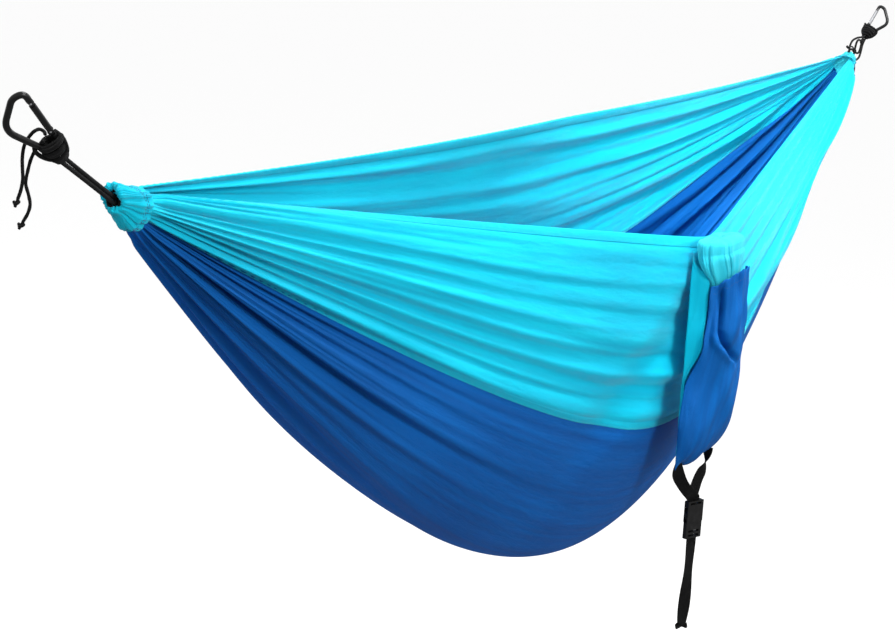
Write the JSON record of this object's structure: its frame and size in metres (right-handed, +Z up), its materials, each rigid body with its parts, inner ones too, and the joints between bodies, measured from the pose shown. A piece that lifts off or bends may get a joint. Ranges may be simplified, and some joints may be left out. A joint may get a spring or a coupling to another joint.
{
  "type": "camping hammock",
  "caption": "Three-panel nylon camping hammock gathered at both ends on rope loops with snap carabiners, with a stuff sack and buckled strap on its near hem.",
  "frame": {"origin": "the flat land inside the left carabiner's crown, where the left anchor bears", "axes": "+X along the hammock from the left anchor to the right one, +Z up, -Y towards the side that the stuff sack hangs on"},
  "size_m": [2.8188, 0.403, 0.9157],
  "materials": {
    "cyan_nylon": "thin woven parachute nylon, sky cyan, soft sheen, folded and gathered",
    "blue_nylon": "thin woven parachute nylon, royal blue, soft sheen",
    "black_rope": "braided black polyester rope",
    "black_cord": "thin braided black cord",
    "black_coated_metal": "satin black coating on a bent metal bar",
    "bare_steel": "plain steel pin or wire",
    "black_webbing": "ribbed black polypropylene webbing, 20 mm",
    "buckle_plastic": "moulded black acetal, fine texture"
  },
  "bodies": {
    "hammock": {"near_side_panel": "cyan_nylon", "centre_panel": "blue_nylon", "far_side_panel": "cyan_nylon", "sack_tab": "cyan_nylon", "left_gathered_channel": "cyan_nylon", "right_gathered_channel": "cyan_nylon", "left_rope": "black_rope", "right_rope": "black_rope", "right_top_tail": "black_cord", "right_top_tail_knot": "black_cord", "right_side_tail": "black_cord", "right_side_tail_knot": "black_cord"},
    "left_carabiner": {"left_carabiner_body": "black_coated_metal", "left_hitch": "black_rope", "left_upper_tail": "black_cord", "left_upper_tail_knot": "black_cord", "left_lower_tail": "black_cord", "left_lower_tail_knot": "black_cord"},
    "left_gate": {"left_carabiner_gate": "black_coated_metal", "left_gate_rivet": "bare_steel", "left_latch_rivet": "bare_steel", "left_gate_spring": "bare_steel"},
    "right_carabiner": {"right_carabiner_body": "black_coated_metal", "right_hitch": "black_rope"},
    "right_gate": {"right_carabiner_gate": "black_coated_metal", "right_gate_rivet": "bare_steel", "right_latch_rivet": "bare_steel", "right_gate_spring": "bare_steel"},
    "sack": {"sack_back_panel": "cyan_nylon", "sack_front_panel": "blue_nylon", "sack_drawcord": "black_cord"},
    "strap": {"strap_fixed": "black_webbing", "strap_adjusting": "black_webbing", "buckle_female": "buckle_plastic"},
    "buckle_plug": {"buckle_male": "buckle_plastic", "strap_tail": "black_webbing"},
    "left_latch": {"buckle_left_latch": "buckle_plastic"},
    "right_latch": {"buckle_right_latch": "buckle_plastic"}
  },
  "joints": [
    {"name": "left_rope_bend", "type": "hinge", "parent": "hammock", "child": "left_carabiner", "pos_m": [0.0629, -0.00184, -0.06251], "axis": [0, 1, 0], "range_deg": [-25, 35]},
    {"name": "left_gate_opening", "type": "hinge", "parent": "left_carabiner", "child": "left_gate", "pos_m": [0.03788, -0.00545, -0.03157], "axis": [-0.5158, -0.6966, -0.4986], "range_deg": [0, 24], "stiffness_Nm_per_rad": 0.25, "springref_deg": -22.92},
    {"name": "right_rope_bend", "type": "hinge", "parent": "hammock", "child": "right_carabiner", "pos_m": [2.74374, -0.0095, -0.06668], "axis": [0, -1, 0], "range_deg": [-25, 35]},
    {"name": "right_gate_opening", "type": "hinge", "parent": "right_carabiner", "child": "right_gate", "pos_m": [2.76953, -0.01075, -0.03619], "axis": [0.6501, 0.5467, -0.5277], "range_deg": [0, 24], "stiffness_Nm_per_rad": 0.25, "springref_deg": -22.92},
    {"name": "sack_swing", "type": "hinge", "parent": "hammock", "child": "sack", "pos_m": [1.37733, -0.17608, -0.32797], "axis": [-1, 0, 0], "range_deg": [0, 80]},
    {"name": "strap_swing", "type": "hinge", "parent": "sack", "child": "strap", "pos_m": [1.37733, -0.19107, -0.63897], "axis": [-1, 0, 0], "range_deg": [-12, 60]},
    {"name": "buckle_release", "type": "slide", "parent": "strap", "child": "buckle_plug", "axis": [0, 0, -1], "range_m": [0, 0.022]},
    {"name": "left_latch_press", "type": "hinge", "parent": "buckle_plug", "child": "left_latch", "pos_m": [1.36853, -0.18678, -0.73637], "axis": [0.4384, 0.8988, 0], "range_deg": [0, 6], "stiffness_Nm_per_rad": 0.05},
    {"name": "right_latch_press", "type": "hinge", "parent": "buckle_plug", "child": "right_latch", "pos_m": [1.38614, -0.19537, -0.73637], "axis": [-0.4384, -0.8988, 0], "range_deg": [0, 6], "stiffness_Nm_per_rad": 0.05}
  ],
  "couplings": [
    {"joint": "right_latch_press", "follows": "left_latch_press", "ratio": 1}
  ]
}
